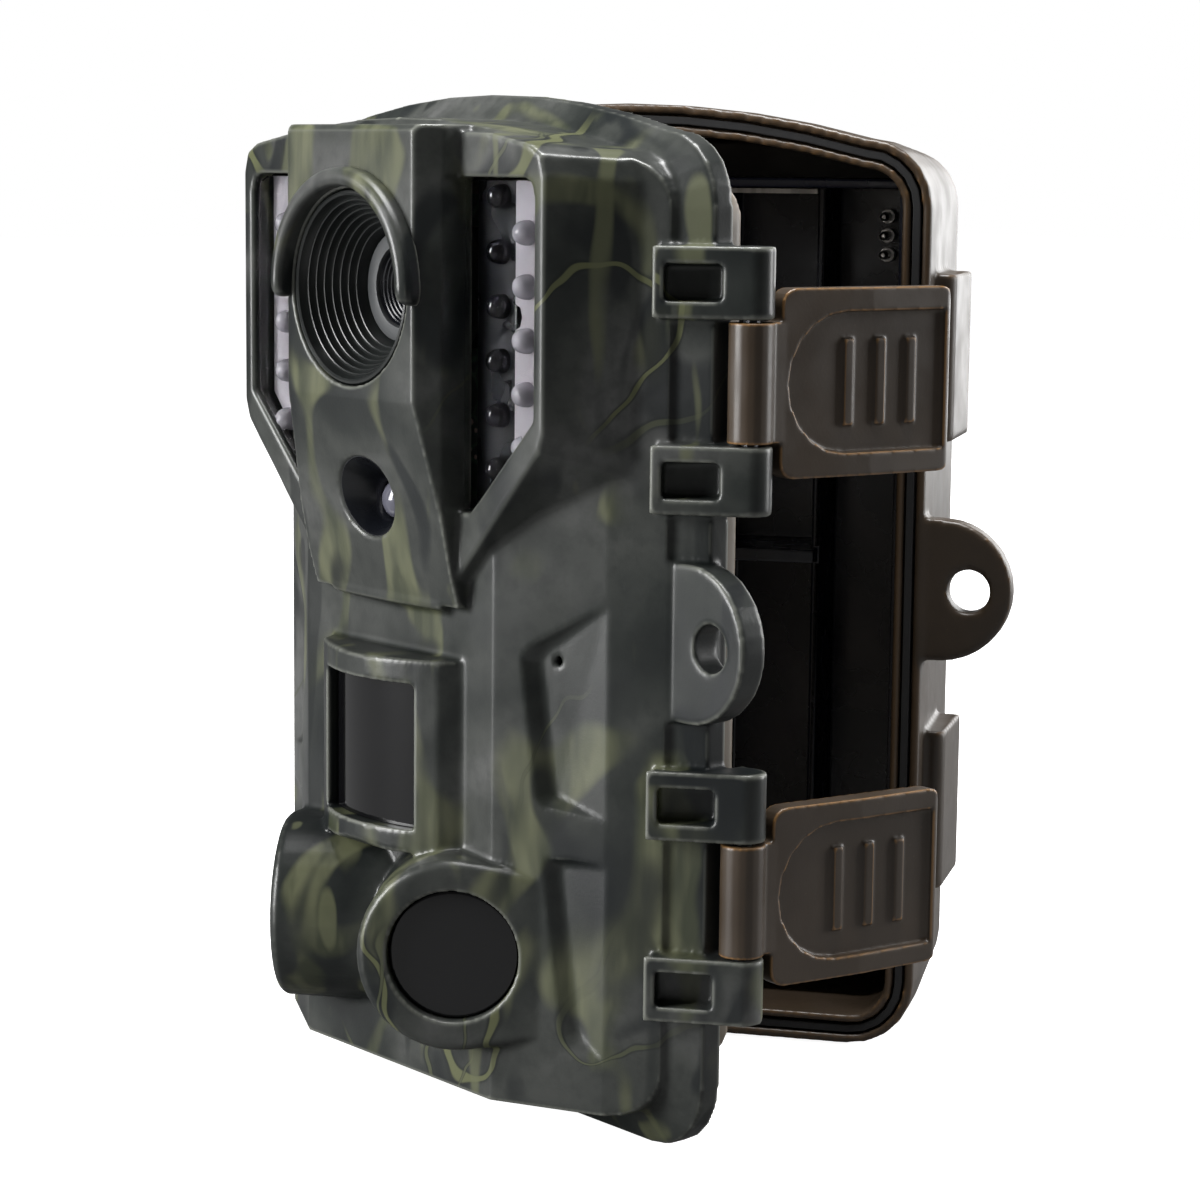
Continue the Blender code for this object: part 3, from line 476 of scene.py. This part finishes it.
def recess(grow, longer=0.0):
    """Rings of the oval funnel around the light sensor."""
    steps = ((-27.0 - longer, 9.4), (-25.2, 7.6), (-23.4, 6.6), (-19.2, 3.1), (-15.0 + longer, 3.0))
    return [[(a, y, SENSOR_Z + b) for a, b in circle(r + grow, 48, tall=0.80 + 0.6 / max(r, 3.0))]
            for y, r in steps]


def side_sensor(side):
    """Middle of a side motion sensor and the way it looks."""
    return Vector((side * PIR.x, PIR.y, PIR.z)), Vector((side / sqrt(2), -1 / sqrt(2), 0.0))


def collar(side):
    """Round sensor collar that runs on, tapering, into the side of the body."""
    centre, axis = side_sensor(side)
    tail = centre + Vector((side / sqrt(2), 1 / sqrt(2), 0.0)) * 10.5
    _, across, other = basis(axis)
    points = []
    for middle, steps in ((centre, ((0.0, 12.0), (0.8, 12.8), (15.0, 13.2))),
                          (tail, ((0.0, 10.4), (1.0, 11.4), (12.0, 12.0)))):
        for back, radius in steps:
            points += [middle - axis * back + across * a + other * b for a, b in circle(radius, 40)]
    return hull(points)


def front_housing():
    shell = copy_node("front_housing", "housing_shell")
    shell = cut(shell, turned("tool", (0, -34.0, LENS_Z), (0, 1, 0), [(0, 17.0), (7.95, 17.0)], 64))
    bore = [(1.0, 8.75), (-3.9, 8.75), (-3.9, 6.6), (-17.0, 6.6)]
    for side in (1, -1):
        shell = join(shell, collar(side))
        shell = cut(shell, turned("tool", *side_sensor(side), bore, 64))
        shell = cut(shell, pocket(UPPER_RIM, UPPER_FLOOR, side), pocket(LOWER_RIM, LOWER_FLOOR, side))
        shell = cut(shell, prism("y", window_outline(side, 0.0), -23.1, -15.9))
    shell = cut(shell, loft("tool", recess(0.0)))
    lens_hole = [(0, LENS_RING), (13.6, LENS_RING)]
    shell = cut(shell, turned("tool", (0, TONGUE_FRONT - 1.0, LENS_Z), (0, 1, 0), lens_hole, 96))
    shell = melt(shell, SKIN, 3)
    mark_edges(shell)
    settle(shell, "housing", CAMO, ["front_housing"])


def hood():
    """Raised crescent over the upper half of the lens, with a rounded lip and rounded ends."""
    inner, outer, front, foot = 13.2, 15.7, -28.5, -25.6
    middle = (inner + outer) / 2
    section = [(inner, foot), (inner, front + 0.9), (inner + 0.3, front + 0.25), (inner + 0.9, front),
               (outer - 1.0, front + 0.1), (outer - 0.3, front + 0.55), (outer, front + 1.3), (outer, foot)]
    rings, low, high, steps = [], radians(-7), radians(187), 72
    for i in range(steps + 1):
        t = low + (high - low) * i / steps
        tip = min(1.0, min(i, steps - i) / 3.0)              # 0 at the rounded ends, 1 between them
        ease = 0.55 + 0.45 * sqrt(1.0 - (1.0 - tip) ** 2)
        ring = []
        for r, y in section:
            r = middle + (r - middle) * ease
            y = foot + (y - foot) * ease
            ring.append((r * cos(t), y, LENS_Z + r * sin(t)))
        rings.append(ring)
    piece = loft("lens_hood", rings)
    piece = melt(piece, FINE_SKIN, 3)
    mark_edges(piece, 0.6)
    settle(piece, "housing", CAMO)


def lens_ring(name, profile, count, finish, nodes=(), angle=30, ring=True):
    piece = turned(name, (0, TONGUE_FRONT, LENS_Z), (0, 1, 0), profile, count, ring=ring)
    settle(piece, "housing", finish, nodes, angle)


def lens():
    """Stepped light trap, bezel, inner cone and the front element."""
    profile = [(0.55, 12.75), (0.2, 12.6), (0.1, 12.3), (0.3, 12.05)]
    radius, depth = 11.9, 0.5
    for _ in range(7):
        profile += [(depth + 0.75, radius - 0.10), (depth + 1.0, radius - 0.26), (depth + 0.86, radius - 0.44),
                    (depth + 0.92, radius - 0.56)]
        radius -= 0.56
        depth += 0.92
    profile += [(7.6, 7.95), (8.2, 7.8), (8.6, 7.6), (12.8, 7.4), (12.8, 12.6)]
    lens_ring("lens_trap", profile, 128, TRAP, ["lens_barrel"])
    bezel = [(8.3, 7.35), (8.2, 7.1), (8.4, 5.55), (8.7, 5.4), (12.0, 5.3), (12.0, 7.35)]
    lens_ring("lens_bezel", bezel, 96, BEZEL)
    inner = [(8.8, 5.3)]
    for i in range(6):
        inner += [(9.2 + 0.42 * i, 5.1 - 0.30 * i), (9.28 + 0.42 * i, 4.95 - 0.30 * i)]
    inner += [(12.0, 3.2), (12.0, 5.3)]
    lens_ring("lens_inner", inner, 96, BLACK)
    steps = 12
    dome = [(11.6 - 1.1 * sqrt(1.0 - (i / steps) ** 2), max(0.02, 4.9 * i / steps))
            for i in range(steps + 1)]
    dome.append((12.4, 4.9))
    lens_ring("lens_element", dome, 64, LENS, ["lens_glass"], 40, ring=False)


def bulbs(name, x, heights, finish):
    """A column of round-topped lamps as one piece."""
    shape = [(0.0, 1.62), (0.9, 1.6), (1.5, 1.45), (2.1, 1.1), (2.45, 0.6), (2.55, 0.05)]
    column = turned(name, (x, LAMP_BACK, heights[0]), (0, -1, 0), shape, 28)
    for z in heights[1:]:
        column = merge(column, turned("tool", (x, LAMP_BACK, z), (0, -1, 0), shape, 28))
    settle(column, "housing", finish, (), 40)


def lamps():
    bar_outline = [(16.2, 83.2), (20.2, 83.2), (24.4, 88.0), (24.4, 125.2), (16.2, 125.2)]
    strip_outline = [(24.2, 87.4), (31.2, 95.1), (31.2, 125.2), (24.2, 125.2), (24.2, 109.6), (25.2, 109.2),
                     (25.6, 108.0), (25.2, 106.8), (24.2, 106.4)]
    infrared = [88.4 + 6.95 * i for i in range(6)]
    white = [91.5 + 6.8 * i for i in range(5)]
    for side, word in ((1, "right"), (-1, "left")):
        pane = prism("y", window_outline(side, 0.35), -19.4, -18.6, "lamp_window_" + word)
        settle(bevel(pane, 0.15), "housing", PANE, ["led_window_" + word], 20)
        bar = prism("y", [(side * x, z) for x, z in bar_outline], -16.8, -15.6, "lamp_bar_" + word)
        settle(bevel(bar, 0.2), "housing", BLACK, ["infrared_lamps_" + word], 20)
        strip = prism("y", [(side * x, z) for x, z in strip_outline], -16.9, -15.7, "lamp_strip_" + word)
        settle(bevel(strip, 0.2), "housing", STRIP, ["white_lamps_" + word], 20)
        bulbs("lamp_infrared_" + word, side * 21.6, infrared, DARK_DOME)
        bulbs("lamp_white_" + word, side * 27.0, white, PALE_DOME)
    eye = [(0.0, 2.6), (0.5, 2.6), (1.2, 2.3), (1.9, 1.5), (2.2, 0.05)]
    eye = turned("light_eye", (0, SENSOR_BACK, SENSOR_Z), (0, -1, 0), eye, 32)
    settle(eye, "housing", EYE, ["light_sensor"], 40)


def sensor_cup():
    """Polished lining of the oval recess, cut level with the face that leans back."""
    outer, inner = loft("sensor_cup", recess(0.5)), loft("tool", recess(-0.12, 1.0))
    ahead = prism("x", [(-40.0, 66.0), (-19.1, 66.0), (-26.3, 100.0), (-40.0, 100.0)], -12.0, 12.0)
    cup = cut(outer, inner, ahead)
    settle(cup, "housing", BLACK, (), 40)


def merge(first, second):
    """Two closed pieces in one object."""
    work = bmesh.new()
    work.from_mesh(first.data)
    work.from_mesh(second.data)
    work.to_mesh(first.data)
    work.free()
    bpy.data.objects.remove(second, do_unlink=True)
    return first


def motion_windows():
    """Bowed front pane and the two round side panes."""
    steps, half_width, bow = 28, 9.7, 1.9
    shares = [i / steps for i in range(-steps, steps + 1)]
    outer = [(half_width * share, -22.9 + bow * share ** 2) for share in shares]
    inner = [(half_width * share, -21.8 + bow * share ** 2) for share in reversed(shares)]
    pane = prism("z", outer + inner, 39.7, 59.1, "motion_pane_front")
    settle(pane, "housing", DARK_GLASS, ["motion_window_front"], 30)
    disc = [(-1.2, 8.55), (-0.25, 8.55), (-0.05, 8.4), (0.0, 8.1), (0.05, 4.0), (0.06, 0.05)]
    for side, word in ((1, "right"), (-1, "left")):
        centre, axis = side_sensor(side)
        pane = turned("motion_pane_" + word, centre - axis * 1.5, axis, disc, 96)
        settle(pane, "housing", DARK_GLASS, ["motion_window_" + word], 30)


# ---------------------------------------------------------------- back cover, latches, rear shell

def back_cover():
    cover = melt(copy_node("back_cover", "cover_shell"), COARSE_SKIN, 3)
    settle(mark_edges(cover), "housing", TAN, ["back_cover"])


def latches():
    for word in ("upper", "lower"):
        latch = melt(copy_node("latch_" + word, "latch_arm_" + word), FINE_SKIN, 4)
        settle(mark_edges(latch, 0.6), word + "_latch", BROWN, ["latch_" + word])


def rear_shell():
    shell = melt(copy_node("rear_shell", "rear_case"), COARSE_SKIN, 7)
    settle(mark_edges(shell, 0.6, 4), "door", BROWN, ["rear_shell"])


def soft_copy(node, name, finish, width):
    """Copy of a node on the door, with its edges rounded."""
    settle(bevel(copy_node(node, name), width), "door", finish, [node], 20)


def small_parts():
    """Rounded tray and seal, and finishes for the nodes that keep their own mesh."""
    soft_copy("battery_tray", "cell_tray", NAVY, 0.35)
    soft_copy("door_seal", "seal_ring", RUBBER, 0.2)
    looks = {"steel": STEEL, "black": BLACK, "dark_glass": DARK_GLASS, "clear": CLEAR, "lamp_strip": STRIP,
             "board": BOARD, "brass": BRASS, "rubber": RUBBER, "brown": BROWN, "tan": TAN, "camo": CAMO}
    slots = {part["node"]: part["material_slot"] for part in frame["record"]["subparts"]}
    for name, obj in frame["nodes"].items():
        if obj.hide_render:
            continue
        slot = slots[name]
        obj.data.materials.clear()
        obj.data.materials.append(DARK_STEEL if "pin" in name else looks[slot])


# ---------------------------------------------------------------- camera, floor and light

FLOOR_HALF, FLOOR_DROP = 4.0, 0.0004
LIT_POINT = Vector((0.0, 0.01, 0.068))
SKY_FILL, SKY_SEEN, FLOOR_GLOW = 0.08, 1.0, 0.95


def camera():
    """Long lens, from the right of the front and a little above."""
    yaw, pitch, roll = radians(50.65), radians(7.99), radians(0.60)
    back = Vector((sin(yaw) * cos(pitch), -cos(yaw) * cos(pitch), sin(pitch)))
    right = Vector((cos(yaw), sin(yaw), 0))
    up = back.cross(right)
    across = right * cos(roll) + up * sin(roll)
    upward = up * cos(roll) - right * sin(roll)
    data = bpy.data.cameras.new("camera")
    data.lens, data.sensor_width = 93.89, 36
    data.clip_start, data.clip_end = 0.01, 20
    obj = bpy.data.objects.new("camera", data)
    obj.matrix_world = Matrix((across, upward, back)).transposed().to_4x4()
    obj.location = (0.33978, -0.25985, 0.12779)
    bpy.context.scene.collection.objects.link(obj)
    bpy.context.scene.camera = obj


def softbox(name, place, size, power):
    data = bpy.data.lights.new(name, "AREA")
    data.shape, data.size, data.size_y = "RECTANGLE", size[0], size[1]
    data.energy = power
    obj = bpy.data.objects.new(name, data)
    obj.location = place
    obj.rotation_euler = (LIT_POINT - Vector(place)).to_track_quat("-Z", "Y").to_euler()
    obj.visible_camera = False
    bpy.context.scene.collection.objects.link(obj)


def camera_only(tree, away, seen):
    """A strength for what is seen directly and another for the light that it casts."""
    path = tree.nodes.new("ShaderNodeLightPath")
    level = tree.nodes.new("ShaderNodeMapRange")
    tree.links.new(path.outputs["Is Camera Ray"], level.inputs["Value"])
    level.inputs["To Min"].default_value, level.inputs["To Max"].default_value = away, seen
    return level.outputs["Result"]


def studio():
    """Pale floor and sky that cast little light, and four soft lights."""
    mesh = bpy.data.meshes.new("floor")
    corners = [(x * FLOOR_HALF, y * FLOOR_HALF, 0) for x, y in ((-1, -1), (1, -1), (1, 1), (-1, 1))]
    mesh.from_pydata(corners, [], [(0, 1, 2, 3)])
    ground = link("floor", mesh)
    ground.location = (0, 0, -FLOOR_DROP)
    f = Finish("pale_floor", 0.8)
    f.shader.inputs["Emission Color"].default_value = (1, 1, 1, 1)
    f.tree.links.new(camera_only(f.tree, 0.0, FLOOR_GLOW), f.shader.inputs["Emission Strength"])
    f.shader.inputs["Specular IOR Level"].default_value = 0.1
    tone = f.mix(camera_only(f.tree, 0.0, 1.0), (0.16, 0.16, 0.16), (0.75, 0.75, 0.75))
    mesh.materials.append(f.finish(tone))
    sky = bpy.data.worlds.new("studio")
    bpy.context.scene.world = sky
    sky.use_nodes = True
    glow = sky.node_tree.nodes["Background"]
    glow.inputs["Color"].default_value = (1, 1, 1, 1)
    sky.node_tree.links.new(camera_only(sky.node_tree, SKY_FILL, SKY_SEEN), glow.inputs["Strength"])
    softbox("front_left", (-0.42, -0.96, 0.30), (0.36, 0.90), 24)
    softbox("back", (-0.30, 1.00, 0.20), (0.50, 0.90), 6)
    softbox("right_back", (0.45, 0.95, 0.28), (0.25, 0.80), 9)
    softbox("overhead", (0.05, 0.05, 0.90), (0.35, 0.35), 14)
    bpy.context.scene.view_settings.view_transform = "Standard"


camera()
studio()
front_housing()
hood()
lens()
lamps()
sensor_cup()
motion_windows()
back_cover()
latches()
rear_shell()
small_parts()
